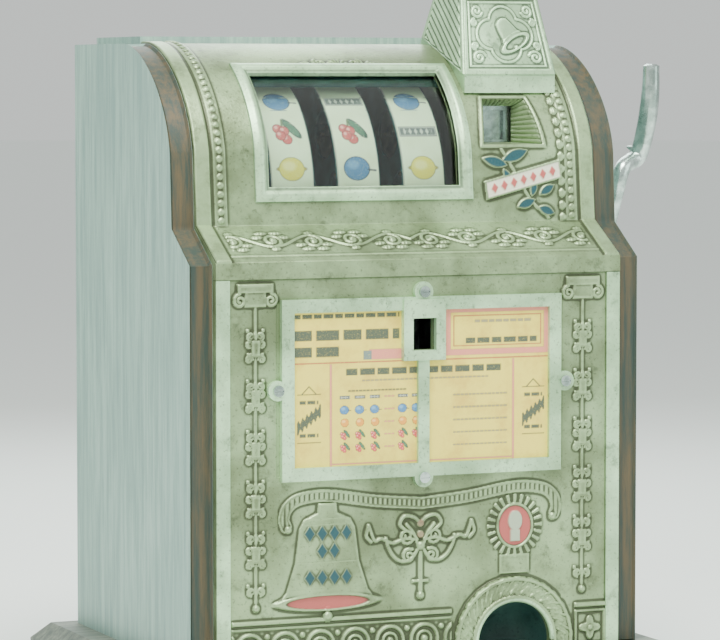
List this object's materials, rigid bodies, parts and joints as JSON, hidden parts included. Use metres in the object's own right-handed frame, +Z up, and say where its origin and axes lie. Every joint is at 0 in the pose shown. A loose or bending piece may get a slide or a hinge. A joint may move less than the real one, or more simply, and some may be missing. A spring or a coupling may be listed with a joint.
{
  "type": "mechanical bell slot machine",
  "caption": "Countertop mechanical reel machine with an oak cabinet, cast front, side lever, coin head and payout mouth.",
  "frame": {"origin": "centre of the plinth's underside", "axes": "+X to the player's right, -Y to the front, +Z up"},
  "size_m": [0.4855, 0.334, 0.582],
  "materials": {
    "oak": "weathered satin",
    "oak_dark": "worn satin",
    "cast": "aged cast, satin",
    "cast_bright": "polished cast, satin",
    "nickel": "worn nickel plate",
    "steel": "satin",
    "brass": "aged satin",
    "iron": "painted dark",
    "sheet": "dark enamel",
    "card": "matt printed",
    "strip": "matt printed",
    "glass": "clear"
  },
  "bodies": {
    "cabinet": {"base_plinth": "oak_dark", "floor_board": "oak_dark", "side_board_left": "oak", "side_board_right": "oak", "top_board": "oak", "board_screws": "steel", "cabinet_hinge_leaves": "brass", "hinge_pins": "brass", "lock_keeper": "brass", "head_casting": "cast", "window_frame": "cast_bright", "reel_glass": "glass", "reel_mask": "sheet", "coin_head": "cast_bright", "coin_glass": "glass", "front_casting": "cast", "award_frame": "cast_bright", "award_card": "card", "frame_screws": "nickel", "payout_cup": "iron", "coin_chute": "brass", "coin_tube": "steel", "slide_bed": "iron", "payout_chute": "steel", "cash_box": "sheet", "mechanism_base": "iron", "frame_left": "iron", "frame_right": "iron", "tie_rods": "steel", "reel_shaft": "steel", "shaft_collars": "steel", "stop_shaft": "steel", "clock_case": "brass", "lever_bush": "nickel", "stop_pegs": "steel"},
    "door": {"back_door": "oak_dark", "door_hinge_leaves": "brass", "lock_barrel": "brass"},
    "lock": {"lock_cam": "steel"},
    "lever": {"handle": "nickel", "lever_shaft": "steel", "lever_collar": "steel", "stop_arm": "steel", "kicker": "steel", "lever_spring": "steel"},
    "governor": {"governor_fan": "brass"},
    "slide": {"payout_slide": "steel"},
    "reel_1": {"reel_drum_1": "sheet", "reel_strip_1": "strip", "index_wheel_1": "brass"},
    "stop_1": {"stop_lever_1": "steel"},
    "reel_2": {"reel_drum_2": "sheet", "reel_strip_2": "strip", "index_wheel_2": "brass"},
    "stop_2": {"stop_lever_2": "steel"},
    "reel_3": {"reel_drum_3": "sheet", "reel_strip_3": "strip", "index_wheel_3": "brass"},
    "stop_3": {"stop_lever_3": "steel"}
  },
  "joints": [
    {"name": "door_swing", "type": "hinge", "parent": "cabinet", "child": "door", "pos_m": [-0.176, 0.1452, 0.292], "axis": [0, 0, 1], "range_deg": [0, 105]},
    {"name": "lock_turn", "type": "hinge", "parent": "door", "child": "lock", "pos_m": [0.135, 0.133, 0.292], "axis": [0, 1, 0], "range_deg": [0, 90]},
    {"name": "lever_pull", "type": "hinge", "parent": "cabinet", "child": "lever", "pos_m": [0.208, 0.017, 0.29], "axis": [1, 0, 0], "range_deg": [0, 75], "stiffness_Nm_per_rad": 4, "springref_deg": -20.05},
    {"name": "reel_1_spin", "type": "hinge", "parent": "cabinet", "child": "reel_1", "pos_m": [-0.087, 0.02, 0.417], "axis": [1, 0, 0], "continuous": true},
    {"name": "reel_2_spin", "type": "hinge", "parent": "cabinet", "child": "reel_2", "pos_m": [-0.0295, 0.02, 0.417], "axis": [1, 0, 0], "continuous": true},
    {"name": "reel_3_spin", "type": "hinge", "parent": "cabinet", "child": "reel_3", "pos_m": [0.028, 0.02, 0.417], "axis": [1, 0, 0], "continuous": true},
    {"name": "stop_lever_1_rock", "type": "hinge", "parent": "cabinet", "child": "stop_1", "pos_m": [-0.0645, 0.057, 0.3], "axis": [1, 0, 0], "range_deg": [-5, 2.9], "stiffness_Nm_per_rad": 0.4},
    {"name": "stop_lever_2_rock", "type": "hinge", "parent": "cabinet", "child": "stop_2", "pos_m": [-0.007, 0.057, 0.3], "axis": [1, 0, 0], "range_deg": [-5, 2.9], "stiffness_Nm_per_rad": 0.4},
    {"name": "stop_lever_3_rock", "type": "hinge", "parent": "cabinet", "child": "stop_3", "pos_m": [0.0505, 0.057, 0.3], "axis": [1, 0, 0], "range_deg": [-5, 2.9], "stiffness_Nm_per_rad": 0.4},
    {"name": "governor_spin", "type": "hinge", "parent": "cabinet", "child": "governor", "pos_m": [-0.15, 0.017, 0.225], "axis": [1, 0, 0], "continuous": true},
    {"name": "payout_slide_move", "type": "slide", "parent": "cabinet", "child": "slide", "axis": [0, 1, 0], "range_m": [0, 0.012], "stiffness_N_per_m": 150, "springref_m": -0.002}
  ]
}
